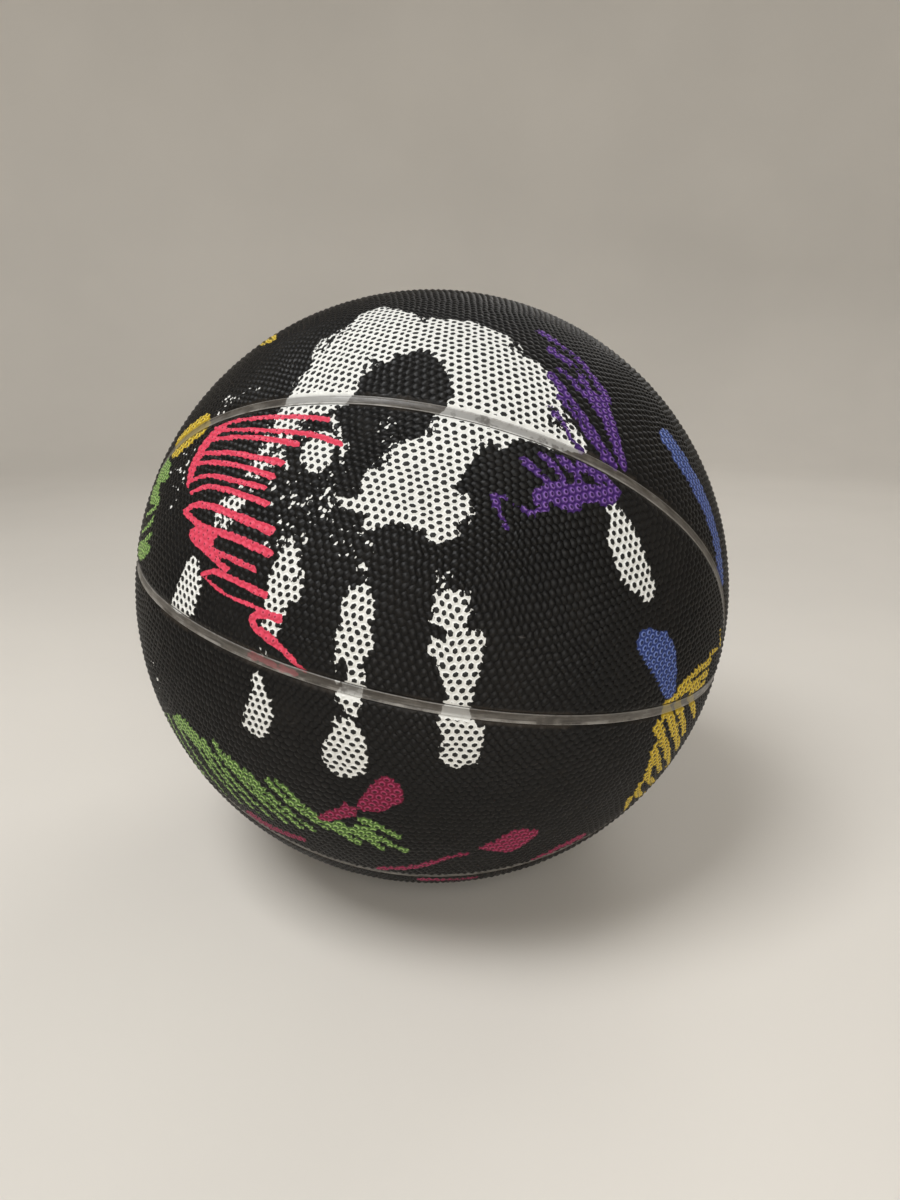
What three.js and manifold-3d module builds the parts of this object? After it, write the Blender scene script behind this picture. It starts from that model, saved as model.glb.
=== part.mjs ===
// A size 7 moulded rubber basketball, a little under-inflated, standing on the flat spot that its own
// weight presses into it. Millimetres, +Z up, with the origin on the floor under the middle of the ball.
//
// The wall is built up as the real one is: a bladder with its valve, a wound carcass layer over it, and
// eight cover panels that meet at narrow seam strips lying a little below the cover.
//
// Seams are laid out in the ball's own frame: x points out through the middle of the front seam loop,
// y to the place where the ring and the arches cross, and z towards the top of the upper arch. The ring
// runs round in the plane z = 0 and the arches in the plane x = 0.
import * as THREE from "three";
import { mergeVertices } from "three/addons/utils/BufferGeometryUtils.js";
import Module from "manifold-3d";

const wasm = await Module();
wasm.setup();

// The ball and how it lies
const BALL_RADIUS = 119;
const CENTRE_HEIGHT = 114.6;
const FLAT_BLEND = 2;
const TURN_DEG = 6.2;
const LEAN_DEG = 11.2;

// The wall. The gap over the carcass also takes up the sag of the cover's flat facets.
const COVER_THICKNESS = 1.5;
const COVER_GAP = 0.7;
const WINDING_THICKNESS = 0.6;
const BLADDER_GAP = 0.3;
const BLADDER_THICKNESS = 0.9;

// Seam strips and the channel that they lie in
const STRIP_HALF_WIDTH = 2;
const STRIP_RECESS = 0.9;
const STRIP_GAP = 0.3;
const STRIP_END_GAP = 0.7;

// The two seam loops, each round one x pole of the ball
const LOOP_HALF_WIDTH_DEG = 44;
const LOOP_HALF_LENGTH_DEG = 75;
const LOOP_SQUARENESS = 10;

// Valve, in the upper rear leaf panel
const VALVE_RADIUS = 5;
const VALVE_GAP = 0.3;
const VALVE_TOP_RECESS = 0.3;
const VALVE_LENGTH = 15;
const VALVE_FLANGE_RADIUS = 9;
const VALVE_FLANGE_TOP = 5.3;
const VALVE_FLANGE_THICKNESS = 2;
const NEEDLE_BORE_RADIUS = 0.9;
const NEEDLE_BORE_DEPTH = 9;
const NEEDLE_MOUTH_RADIUS = 1.7;
const NEEDLE_MOUTH_DEPTH = 0.9;
const VALVE_LONGITUDE_DEG = 158;
const VALVE_LATITUDE_DEG = 8;

// Fineness of the facets
const COVER_DETAIL = 9;
const LINING_DETAIL = 6;
const RING_STEPS = 60;
const LOOP_STEPS = 64;
const ROUND_STEPS = 24;

const CUTTER_SIZE = 300;

const rad = THREE.MathUtils.degToRad;
const centre = new THREE.Vector3(0, 0, CENTRE_HEIGHT);

// Ball frame to world: the loop faces forwards (-Y), turned about Z, and the ball leans to its right.
function attitudeMatrix() {
  const turn = rad(TURN_DEG);
  const lean = rad(LEAN_DEG);
  const x = new THREE.Vector3(-Math.sin(turn), -Math.cos(turn), 0);
  const level = new THREE.Vector3(Math.cos(turn), -Math.sin(turn), 0);
  const y = level.multiplyScalar(Math.cos(lean)).add(new THREE.Vector3(0, 0, -Math.sin(lean)));
  const z = new THREE.Vector3().crossVectors(x, y);
  return new THREE.Matrix4().makeBasis(x, y, z);
}
const attitude = attitudeMatrix();
const placement = attitude.clone().setPosition(centre);

// Distance from the ball's middle to a wall surface of the given inflated radius, in a world direction.
// Below, the surface is held up by the floor, and the two run together softly.
function wallRadius(direction, radius) {
  if (direction.z >= 0) return radius;
  const depth = BALL_RADIUS - radius;
  const toFloor = (CENTRE_HEIGHT - depth) / -direction.z;
  const overlap = Math.max(FLAT_BLEND - Math.abs(radius - toFloor), 0) / FLAT_BLEND;
  return Math.min(radius, toFloor) - (overlap * overlap * FLAT_BLEND) / 4;
}

function wallPoint(direction, radius) {
  return direction.clone().multiplyScalar(wallRadius(direction, radius)).add(centre);
}

// --- Solids ---

function toSolid(geometry) {
  const bare = geometry.clone();
  bare.deleteAttribute("normal");
  bare.deleteAttribute("uv");
  const merged = mergeVertices(bare, 1e-4);
  const mesh = new wasm.Mesh({
    numProp: 3,
    vertProperties: new Float32Array(merged.attributes.position.array),
    triVerts: new Uint32Array(merged.index.array),
  });
  return new wasm.Manifold(mesh);
}

function toGeometry(solid) {
  const mesh = solid.getMesh();
  const geometry = new THREE.BufferGeometry();
  geometry.setAttribute("position", new THREE.BufferAttribute(mesh.vertProperties, 3));
  geometry.setIndex(new THREE.BufferAttribute(mesh.triVerts, 1));
  geometry.computeVertexNormals();
  return geometry;
}

function geometryFrom(points, triangles) {
  const geometry = new THREE.BufferGeometry().setFromPoints(points);
  geometry.setIndex(triangles);
  geometry.computeVertexNormals();
  return geometry;
}

// The solid inside a wall surface
function filledBall(radius, detail) {
  const geometry = new THREE.IcosahedronGeometry(1, detail);
  const position = geometry.attributes.position;
  const direction = new THREE.Vector3();
  for (let i = 0; i < position.count; i++) {
    direction.fromBufferAttribute(position, i).normalize();
    const point = wallPoint(direction, radius);
    position.setXYZ(i, point.x, point.y, point.z);
  }
  return toSolid(geometry);
}

function wallShell(outerRadius, thickness, detail) {
  return filledBall(outerRadius, detail).subtract(filledBall(outerRadius - thickness, detail));
}

// --- Seam lines ---

function fromAngles(longitudeDeg, latitudeDeg) {
  const around = rad(longitudeDeg);
  const up = rad(latitudeDeg);
  return new THREE.Vector3(
    Math.cos(up) * Math.cos(around),
    Math.sin(up),
    Math.cos(up) * Math.sin(around),
  );
}

// A point of the front loop. The angle runs 0 to pi over its upper half, from the +y end to the -y end,
// and on to 2 pi over its lower half.
function loopPoint(angle) {
  const along = Math.cos(angle);
  const spread = Math.sqrt(Math.max(0, 1 - Math.abs(along) ** LOOP_SQUARENESS));
  const side = Math.sin(angle) < 0 ? -1 : 1;
  return fromAngles(side * LOOP_HALF_WIDTH_DEG * spread, LOOP_HALF_LENGTH_DEG * along);
}

// The direction across the loop, away from its middle
function loopOutward(angle) {
  const small = 1e-4;
  const forward = loopPoint(angle + small).sub(loopPoint(angle - small));
  return forward.cross(loopPoint(angle)).normalize();
}

function shifted(direction, sideways, distance) {
  return direction.clone().addScaledVector(sideways, distance / BALL_RADIUS).normalize();
}

// --- Cutters ---

// A cone from the ball's middle through a loop, moved outwards by the given distance
function loopCutter(isFront, outwards) {
  const points = [new THREE.Vector3()];
  for (let i = 0; i < LOOP_STEPS; i++) {
    const angle = (2 * Math.PI * i) / LOOP_STEPS;
    const edge = shifted(loopPoint(angle), loopOutward(angle), outwards);
    points.push(edge.multiplyScalar(CUTTER_SIZE));
  }
  const cap = points.length;
  points.push(new THREE.Vector3(CUTTER_SIZE, 0, 0));
  const triangles = [];
  for (let i = 0; i < LOOP_STEPS; i++) {
    const here = 1 + i;
    const next = 1 + ((i + 1) % LOOP_STEPS);
    triangles.push(0, next, here, cap, here, next);
  }
  const geometry = geometryFrom(points, triangles);
  if (!isFront) geometry.rotateY(Math.PI);
  return toSolid(geometry.applyMatrix4(placement));
}

// The quarter of the ball beyond the ring and the arches, less half a channel
function quarterCutter(xSign, zSign) {
  const middle = CUTTER_SIZE / 2 + STRIP_HALF_WIDTH + STRIP_GAP;
  const box = new THREE.BoxGeometry(CUTTER_SIZE, CUTTER_SIZE, CUTTER_SIZE);
  box.translate(xSign * middle, 0, zSign * middle);
  return toSolid(box.applyMatrix4(placement));
}

// Lathe profiles stand on the ball's wall: their y is the distance from the ball's middle.
function onValveAxis(geometry) {
  const axis = fromAngles(VALVE_LONGITUDE_DEG, VALVE_LATITUDE_DEG).transformDirection(attitude);
  const upright = new THREE.Vector3(0, 1, 0);
  geometry.applyQuaternion(new THREE.Quaternion().setFromUnitVectors(upright, axis));
  return geometry.translate(centre.x, centre.y, centre.z);
}

function valveHoleCutter() {
  const radius = VALVE_RADIUS + VALVE_GAP;
  const hole = new THREE.CylinderGeometry(radius, radius, 2 * VALVE_LENGTH, ROUND_STEPS);
  return toSolid(onValveAxis(hole.translate(0, BALL_RADIUS, 0)));
}

// --- Pieces ---

// A strip along a row of stations, each a direction and the sideways direction there
function strip(stations, isClosed) {
  const inner = BALL_RADIUS - COVER_THICKNESS;
  const outer = BALL_RADIUS - STRIP_RECESS;
  const corners = [
    [-STRIP_HALF_WIDTH, inner],
    [STRIP_HALF_WIDTH, inner],
    [STRIP_HALF_WIDTH, outer],
    [-STRIP_HALF_WIDTH, outer],
  ];
  const points = [];
  for (const { direction, sideways } of stations) {
    for (const [offset, radius] of corners) {
      const toCorner = shifted(direction, sideways, offset).transformDirection(attitude);
      points.push(wallPoint(toCorner, radius));
    }
  }
  const triangles = [];
  const spans = isClosed ? stations.length : stations.length - 1;
  for (let i = 0; i < spans; i++) {
    const here = 4 * i;
    const next = 4 * ((i + 1) % stations.length);
    for (let k = 0; k < 4; k++) {
      const l = (k + 1) % 4;
      triangles.push(here + k, here + l, next + l, here + k, next + l, next + k);
    }
  }
  if (!isClosed) {
    const last = 4 * (stations.length - 1);
    triangles.push(0, 3, 2, 0, 2, 1);
    triangles.push(last, last + 1, last + 2, last, last + 2, last + 3);
  }
  return toSolid(geometryFrom(points, triangles));
}

// The seam ring round the plane z = 0
function ringStrip() {
  const stations = [];
  for (let i = 0; i < RING_STEPS; i++) {
    const direction = fromAngles(0, (360 * i) / RING_STEPS);
    stations.push({ direction, sideways: new THREE.Vector3(0, 0, 1) });
  }
  return strip(stations, true);
}

// Half of the seam in the plane x = 0, over the top (zSign 1) or under the bottom (-1)
function archStrip(zSign) {
  const steps = RING_STEPS / 2;
  const trim = (STRIP_HALF_WIDTH + STRIP_GAP) / BALL_RADIUS;
  const stations = [];
  for (let i = 0; i <= steps; i++) {
    const angle = trim + ((Math.PI - 2 * trim) * i) / steps;
    const direction = new THREE.Vector3(0, Math.cos(angle), zSign * Math.sin(angle));
    stations.push({ direction, sideways: new THREE.Vector3(zSign, 0, 0) });
  }
  return strip(stations, false);
}

// The angle along a loop at which its seam clears the ring's strip
function loopStartAngle() {
  const clear = (STRIP_HALF_WIDTH + STRIP_END_GAP) / BALL_RADIUS;
  let angle = 0;
  while (loopPoint(angle).z < clear) angle += 0.001;
  return angle;
}

// Half of a seam loop, on the x side and the z side given
function bowStrip(xSign, zSign) {
  const steps = LOOP_STEPS / 2;
  const start = loopStartAngle();
  const stations = [];
  for (let i = 0; i <= steps; i++) {
    const angle = Math.min(Math.max((Math.PI * i) / steps, start), Math.PI - start);
    const direction = loopPoint(angle);
    const sideways = loopOutward(angle);
    direction.multiply(new THREE.Vector3(xSign, 1, zSign));
    sideways.multiply(new THREE.Vector3(xSign, 1, zSign));
    if (xSign * zSign > 0) sideways.negate();
    stations.push({ direction, sideways });
  }
  return strip(stations, false);
}

function valvePlug() {
  const top = BALL_RADIUS - VALVE_TOP_RECESS;
  const flangeTop = BALL_RADIUS - VALVE_FLANGE_TOP;
  const profile = [
    [0, top - NEEDLE_BORE_DEPTH],
    [0, top - VALVE_LENGTH],
    [VALVE_RADIUS - 1, top - VALVE_LENGTH],
    [VALVE_RADIUS, top - VALVE_LENGTH + 2],
    [VALVE_RADIUS, flangeTop - VALVE_FLANGE_THICKNESS],
    [VALVE_FLANGE_RADIUS, flangeTop - VALVE_FLANGE_THICKNESS],
    [VALVE_FLANGE_RADIUS, flangeTop],
    [VALVE_RADIUS, flangeTop],
    [VALVE_RADIUS, top - 0.4],
    [VALVE_RADIUS - 0.4, top],
    [NEEDLE_MOUTH_RADIUS, top],
    [NEEDLE_BORE_RADIUS, top - NEEDLE_MOUTH_DEPTH],
    [NEEDLE_BORE_RADIUS, top - NEEDLE_BORE_DEPTH],
    [0, top - NEEDLE_BORE_DEPTH],
  ];
  const points = profile.map(([x, y]) => new THREE.Vector2(x, y));
  return toSolid(onValveAxis(new THREE.LatheGeometry(points, ROUND_STEPS)));
}

// --- Materials ---

function rubber(color, roughness) {
  return new THREE.MeshStandardMaterial({ color, roughness, metalness: 0, flatShading: true });
}
const coverRubber = rubber(0x1f1d1d, 0.75);
const stripRubber = rubber(0x8f8a84, 0.45);
const bladderRubber = rubber(0x2b2626, 0.6);
const valveRubber = rubber(0x343235, 0.55);
const woundThread = rubber(0xb8aa8c, 0.9);

// --- Assembly ---

const ball = new THREE.Group();

function place(name, solid, material) {
  const mesh = new THREE.Mesh(toGeometry(solid), material);
  mesh.name = name;
  ball.add(mesh);
}

const valveHole = valveHoleCutter();
const windingRadius = BALL_RADIUS - COVER_THICKNESS - COVER_GAP;
const bladderRadius = windingRadius - WINDING_THICKNESS - BLADDER_GAP;
const winding = wallShell(windingRadius, WINDING_THICKNESS, LINING_DETAIL);
const bladder = wallShell(bladderRadius, BLADDER_THICKNESS, LINING_DETAIL);
place("bladder", bladder.subtract(valveHole), bladderRubber);
place("wound_carcass", winding.subtract(valveHole), woundThread);
place("valve", valvePlug(), valveRubber);

const cover = wallShell(BALL_RADIUS, COVER_THICKNESS, COVER_DETAIL).subtract(valveHole);
const channel = STRIP_HALF_WIDTH + STRIP_GAP;
for (const [xName, xSign] of [["front", 1], ["rear", -1]]) {
  const insideLoop = loopCutter(xSign > 0, -channel);
  const withinChannel = loopCutter(xSign > 0, channel);
  for (const [zName, zSign] of [["upper", 1], ["lower", -1]]) {
    const quarter = cover.intersect(quarterCutter(xSign, zSign));
    place(`leaf_panel_${xName}_${zName}`, quarter.intersect(insideLoop), coverRubber);
    place(`band_panel_${xName}_${zName}`, quarter.subtract(withinChannel), coverRubber);
    place(`seam_bow_${xName}_${zName}`, bowStrip(xSign, zSign), stripRubber);
  }
}
place("seam_ring", ringStrip(), stripRubber);
place("seam_arch_upper", archStrip(1), stripRubber);
place("seam_arch_lower", archStrip(-1), stripRubber);

export default ball;
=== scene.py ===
"""The looks of a moulded rubber basketball, a little under-inflated, standing on its flat spot.

Lengths are in millimetres until a mesh is made, and positions are measured from the ball's middle.
Seams are laid out in the ball's own frame, as in the solids: x out through the middle of the front loop,
y to the crossing of ring and arches, z up. The ring lies in z = 0 and the arches in x = 0.
"""
import math
from functools import reduce

import bpy
import numpy as np
from mathutils import Matrix, Vector
from mathutils.geometry import delaunay_2d_cdt


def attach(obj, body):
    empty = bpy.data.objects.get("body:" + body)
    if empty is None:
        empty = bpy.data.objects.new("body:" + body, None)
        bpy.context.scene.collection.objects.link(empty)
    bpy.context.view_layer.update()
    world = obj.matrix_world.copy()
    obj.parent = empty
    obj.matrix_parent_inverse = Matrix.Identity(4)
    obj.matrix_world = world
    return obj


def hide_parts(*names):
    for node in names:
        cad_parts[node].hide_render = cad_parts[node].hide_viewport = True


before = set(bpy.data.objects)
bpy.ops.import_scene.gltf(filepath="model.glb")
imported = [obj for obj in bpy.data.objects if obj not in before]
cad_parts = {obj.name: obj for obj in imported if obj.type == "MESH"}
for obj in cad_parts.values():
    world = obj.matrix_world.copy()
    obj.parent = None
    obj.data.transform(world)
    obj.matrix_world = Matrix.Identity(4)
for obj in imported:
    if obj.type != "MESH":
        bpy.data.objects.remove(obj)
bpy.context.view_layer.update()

MM = 0.001

# The ball and how it lies
BALL_RADIUS = 119.0
CENTRE_HEIGHT = 114.6
FLAT_BLEND = 2.0
TURN_DEG = 6.2
LEAN_DEG = 11.2

# Cover panels
COVER_INNER_RADIUS = 117.5
PEBBLE_HEIGHT = 0.65
FLANK_HEIGHT = 0.62
SADDLE_HEIGHT = 0.08
GRID_FREQUENCY = 186
GRID_TURN = Matrix.Rotation(0.35, 3, Vector((0.3, 0.8, 0.5)))
ROW_BEND = 1.6
ROW_BEND_LENGTH = 95.0
UNSETTLING = 0.17
UNSETTLING_LENGTH = 6.5
RIM_FALL = 0.3

# Seam strips and their channel
CHANNEL_HALF_WIDTH = 1.85
STRIP_HALF_WIDTH = 1.75

# Seam loops
LOOP_HALF_WIDTH_DEG = 44.0
LOOP_HALF_LENGTH_DEG = 75.0
LOOP_SQUARENESS = 10
LOOP_QUARTER_STEPS = 50
LOOP_FINE_STEPS = 4000

# Valve
VALVE_HOLE_RADIUS = 5.25
VALVE_LONGITUDE_DEG = 158.0
VALVE_LATITUDE_DEG = 8.0

rng = np.random.default_rng(7)


# ---------------------------------------------------------------- shape of the ball

def ball_axes():
    turn = math.radians(TURN_DEG)
    lean = math.radians(LEAN_DEG)
    x = np.array([-math.sin(turn), -math.cos(turn), 0.0])
    y = np.array([math.cos(turn) * math.cos(lean), -math.sin(turn) * math.cos(lean), -math.sin(lean)])
    return np.stack([x, y, np.cross(x, y)], axis=1)


BALL_TO_WORLD = ball_axes()


def normalized(vectors):
    return vectors / np.linalg.norm(vectors, axis=-1, keepdims=True)


def wall_radius(down, radius):
    """Distance from the middle to a wall surface, where down is the downward part of a unit direction."""
    radius = np.broadcast_to(np.asarray(radius, float), down.shape)
    depth = BALL_RADIUS - radius
    to_floor = (CENTRE_HEIGHT - depth) / np.maximum(down, 1e-3)
    overlap = np.maximum(FLAT_BLEND - np.abs(radius - to_floor), 0) / FLAT_BLEND
    return np.minimum(radius, to_floor) - overlap**2 * FLAT_BLEND / 4


def wall_points(directions, radius):
    """World points, in metres, of a wall surface in the given ball-frame directions."""
    world = directions @ BALL_TO_WORLD.T
    reach = wall_radius(-world[:, 2], radius)
    points = world * reach[:, None]
    points[:, 2] += CENTRE_HEIGHT
    return points * MM


def from_angles(longitude, latitude):
    """Unit vector in the ball frame, from degrees."""
    around = np.radians(longitude)
    up = np.radians(latitude)
    return np.stack([np.cos(up) * np.cos(around), np.sin(up) + 0 * around, np.cos(up) * np.sin(around)], -1)


# ---------------------------------------------------------------- seam lines

def loop_points(angle):
    """Points of the front loop; the angle runs 0 to pi over its upper half."""
    along = np.cos(angle)
    spread = np.sqrt(np.maximum(0, 1 - np.abs(along) ** LOOP_SQUARENESS))
    side = np.where(np.sin(angle) < 0, -1, 1)
    return from_angles(side * LOOP_HALF_WIDTH_DEG * spread, LOOP_HALF_LENGTH_DEG * along)


def loop_half_width(latitude):
    share = np.minimum(np.abs(latitude) / LOOP_HALF_LENGTH_DEG, 1)
    return LOOP_HALF_WIDTH_DEG * np.sqrt(1 - share**LOOP_SQUARENESS)


def distance_to_chain(points, chain):
    """Shortest distance from each point to a chain of straight pieces."""
    best = np.full(len(points), np.inf, np.float32)
    for a, b in zip(chain[:-1], chain[1:]):
        ab = b - a
        share = np.clip((points - a) @ ab / max(ab @ ab, 1e-12), 0, 1)
        gap = points - a - share[:, None] * ab
        best = np.minimum(best, np.einsum("ij,ij->i", gap, gap))
    return np.sqrt(best)


LOOP_QUARTER = loop_points(np.linspace(0, math.pi / 2, LOOP_QUARTER_STEPS))


def seam_distances(directions):
    """Distance in mm to the ring, to the arches and to the loops, and whether a point is inside a loop."""
    to_ring = np.abs(directions[:, 2]) * BALL_RADIUS
    to_arch = np.abs(directions[:, 0]) * BALL_RADIUS
    folded = np.abs(directions)
    to_loop = distance_to_chain(folded, LOOP_QUARTER) * BALL_RADIUS
    latitude = np.degrees(np.arcsin(np.clip(folded[:, 1], 0, 1)))
    longitude = np.degrees(np.arctan2(folded[:, 2], folded[:, 0]))
    inside = (latitude < LOOP_HALF_LENGTH_DEG) & (longitude < loop_half_width(latitude))
    return to_ring, to_arch, to_loop, inside


# ---------------------------------------------------------------- pebbled geodesic grid

def icosahedron():
    golden = (1 + math.sqrt(5)) / 2
    corners = []
    for a in (-1, 1):
        for b in (-golden, golden):
            corners += [(0, a, b), (a, b, 0), (b, 0, a)]
    corners = normalized(np.array(corners))
    edge = min(np.linalg.norm(corners[0] - c) for c in corners[1:])
    faces = []
    for i in range(12):
        for j in range(i + 1, 12):
            for k in range(j + 1, 12):
                sides = [corners[i] - corners[j], corners[j] - corners[k], corners[k] - corners[i]]
                if all(abs(np.linalg.norm(s) - edge) < 1e-6 for s in sides):
                    outward = np.linalg.det(np.stack([corners[i], corners[j], corners[k]])) > 0
                    faces.append((i, j, k) if outward else (i, k, j))
    return corners, faces


def smoothstep(low, high, value):
    share = np.clip((value - low) / (high - low), 0, 1)
    return share * share * (3 - 2 * share)


def is_dome_centre(i, j):
    return (i % 2 == 0) & (j % 2 == 0) & ((i - j) // 2 % 3 == 0)


def pebble_profile(i, j):
    """Height, 0 to 1, of a grid point: dome centres, their rings, and the valley between the domes."""
    profile = np.full(i.shape, SADDLE_HEIGHT)
    profile[(i % 2 == 0) & (j % 2 == 0)] = 0.0
    for di, dj in ((1, 0), (0, 1), (-1, 1), (-1, 0), (0, -1), (1, -1)):
        profile[is_dome_centre(i + di, j + dj)] = FLANK_HEIGHT
    profile[is_dome_centre(i, j)] = 1.0
    return profile


def geodesic_grid():
    """Unit directions, pebble heights and triangles of the whole ball's grid."""
    n = GRID_FREQUENCY
    corners, faces = icosahedron()
    corners = corners @ np.array(GRID_TURN).T
    i, j = np.array([(a, b) for a in range(n + 1) for b in range(n + 1 - a)]).T
    index = np.full((n + 1, n + 1), -1)
    index[i, j] = np.arange(len(i))
    up = (i + j) < n
    down = up & ((i + j) < n - 1)
    a, b = i[up], j[up]
    upright = np.stack([index[a, b], index[a + 1, b], index[a, b + 1]], 1)
    a, b = i[down], j[down]
    inverted = np.stack([index[a + 1, b], index[a + 1, b + 1], index[a, b + 1]], 1)
    local = np.concatenate([upright, inverted])
    edge_angle = math.acos(float(corners[faces[0][0]] @ corners[faces[0][1]]))
    weights = np.sin(np.stack([n - i - j, i, j], 1) / n * edge_angle)
    profile = pebble_profile(i, j)
    directions, heights, triangles = [], [], []
    for number, face in enumerate(faces):
        directions.append(normalized(weights @ corners[list(face)]))
        heights.append(profile)
        triangles.append(local + number * len(i))
    directions = np.concatenate(directions)
    heights = np.concatenate(heights)
    triangles = np.concatenate(triangles)
    keys = np.round(directions * 1e6).astype(np.int64) @ np.array([1, 4_000_003, 16_000_000_000_007])
    _, first, inverse = np.unique(keys, return_index=True, return_inverse=True)
    return directions[first], heights[first], inverse[triangles]


def ripple(directions, wavelength, waves):
    """A smooth pseudo-random vector field on the ball, about 1 in size, made of plane waves."""
    total = np.zeros_like(directions)
    for _ in range(waves):
        along = normalized(rng.normal(size=3)) * 2 * math.pi * BALL_RADIUS / wavelength
        push = rng.normal(size=3) * math.sqrt(2 / waves)
        total += np.sin(directions @ along + rng.uniform(0, 2 * math.pi))[:, None] * push
    return total


def settle_rows(directions):
    """Bends the pebble rows slowly, and unsettles single pebbles a little."""
    bend = ripple(directions, ROW_BEND_LENGTH, waves=10) * ROW_BEND
    unsettle = ripple(directions, UNSETTLING_LENGTH, waves=28) * UNSETTLING
    return normalized(directions * BALL_RADIUS + bend + unsettle)


# ---------------------------------------------------------------- distances that shape the panels

VALVE_AXIS = from_angles(VALVE_LONGITUDE_DEG, VALVE_LATITUDE_DEG)
SNAP_REACH = 0.28
PROBE_STEP = 0.02


def rim_distance(directions):
    """Distance in mm from the nearest edge of a panel, negative in a channel or in the valve's hole."""
    to_ring, to_arch, to_loop, _ = seam_distances(directions)
    seam = np.minimum(np.minimum(to_ring, to_arch), to_loop) - CHANNEL_HALF_WIDTH
    valve = np.linalg.norm(directions - VALVE_AXIS, axis=1) * BALL_RADIUS - VALVE_HOLE_RADIUS
    return np.minimum(seam, valve)


def snap_to_rims(directions, rims):
    """Moves grid points that lie almost on a rim onto it, so that cutting leaves no slivers."""
    near = np.flatnonzero(np.abs(rims) < SNAP_REACH)
    spots = directions[near]
    step = PROBE_STEP / BALL_RADIUS
    helper = np.where(np.abs(spots[:, :1]) < 0.9, [[1.0, 0, 0]], [[0, 1.0, 0]])
    u = normalized(np.cross(spots, helper))
    v = np.cross(spots, u)

    def slope(way):
        ahead = rim_distance(normalized(spots + way * step))
        return (ahead - rim_distance(normalized(spots - way * step))) / 2

    slope_u, slope_v = slope(u), slope(v)
    steepness = np.maximum(slope_u**2 + slope_v**2, 1e-9)
    move = -(rims[near] / steepness * step)[:, None] * (slope_u[:, None] * u + slope_v[:, None] * v)
    directions[near] = normalized(spots + move)
    rims[near] = 0


def cut_at_rims(directions, rims, heights, triangles):
    """Keeps the parts of the grid's triangles that lie on a panel, with new points on the rims."""
    on_panel = (rims[triangles] > 0).any(1)
    off_panel = (rims[triangles] < 0).any(1)
    made, new_directions, new_heights, cut_triangles = {}, [], [], []

    def cut(a, b):
        key = (min(a, b), max(a, b))
        if key not in made:
            share = rims[a] / (rims[a] - rims[b])
            made[key] = len(directions) + len(new_directions)
            new_directions.append(directions[a] + (directions[b] - directions[a]) * share)
            new_heights.append(heights[a] + (heights[b] - heights[a]) * share)
        return made[key]

    for corners in triangles[on_panel & off_panel].tolist():
        start = next(k for k in range(3) if rims[corners[k]] < 0)
        lap = [corners[(start + k) % 3] for k in range(4)]
        kept = []
        for a, b in zip(lap[:-1], lap[1:]):
            if rims[a] >= 0:
                kept.append(a)
            if rims[a] * rims[b] < 0:
                kept.append(cut(a, b))
        cut_triangles += [(kept[0], kept[k], kept[k + 1]) for k in range(1, len(kept) - 1)]
    directions = np.concatenate([directions, normalized(np.array(new_directions))])
    heights = np.concatenate([heights, new_heights])
    rims = np.concatenate([rims, np.zeros(len(new_heights))])
    triangles = np.concatenate([triangles[on_panel & ~off_panel], np.array(cut_triangles)])
    return directions, rims, heights, triangles


# ---------------------------------------------------------------- printed paint, on a chart of the front

CHART_MIDDLE_DEG = 17.0
CHART_MIDDLE = from_angles(CHART_MIDDLE_DEG, 0.0)
CHART_RIGHT = np.array([0.0, 1.0, 0.0])
FIELD_REACH = 3.0
STROKE_ROOM = 6.0
STROKE_END_SHARE = 0.72


def chart(directions, middle, right):
    """Flat positions in mm whose distance and bearing from the middle are true."""
    up = np.cross(middle, right)
    angle = np.arccos(np.clip(directions @ middle, -1, 1))
    x, y = directions @ right, directions @ up
    stretch = BALL_RADIUS * angle / np.maximum(np.hypot(x, y), 1e-9)
    return np.stack([x * stretch, y * stretch], 1)


def rounded(points, closed, steps=4):
    """A smooth line through the points."""
    points = np.array(points, float)
    if closed:
        ring = np.concatenate([points[-1:], points, points[:2]])
    else:
        ring = np.concatenate([2 * points[:1] - points[1:2], points, 2 * points[-1:] - points[-2:-1]])
    share = np.linspace(0, 1, steps, endpoint=False)[:, None]
    line = []
    for a, b, c, d in zip(ring[:-3], ring[1:-2], ring[2:-1], ring[3:]):
        line.append(b + share / 2 * (c - a) + share**2 * (a - 2.5 * b + 2 * c - d / 2)
                    + share**3 * (1.5 * (b - c) + (d - a) / 2))
    line.append(ring[-2:-1])
    return np.concatenate(line)


def outline_field(at, points):
    """Signed distance in mm to a smooth closed outline, positive inside it."""
    loop = rounded(points, closed=True)
    inside = np.zeros(len(at), bool)
    x, y = at.T
    for (x1, y1), (x2, y2) in zip(loop[:-1], loop[1:]):
        if y1 != y2:
            inside ^= ((y1 > y) != (y2 > y)) & (x < (x2 - x1) * (y - y1) / (y2 - y1) + x1)
    gap = distance_to_chain(at, loop)
    return np.where(inside, gap, -gap)


def stroke_field(at, points, thickness):
    """Signed distance in mm to a brush stroke that thins towards its far end."""
    line = rounded(points, closed=False, steps=3)
    radii = np.linspace(1, STROKE_END_SHARE, len(line)) * thickness / 2
    best = np.full(len(at), -np.inf)
    for a, b, start, end in zip(line[:-1], line[1:], radii[:-1], radii[1:]):
        ab = b - a
        share = np.clip((at - a) @ ab / max(ab @ ab, 1e-12), 0, 1)
        gap = np.linalg.norm(at - a - share[:, None] * ab, axis=1)
        best = np.maximum(best, start + (end - start) * share - gap)
    return best


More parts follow.
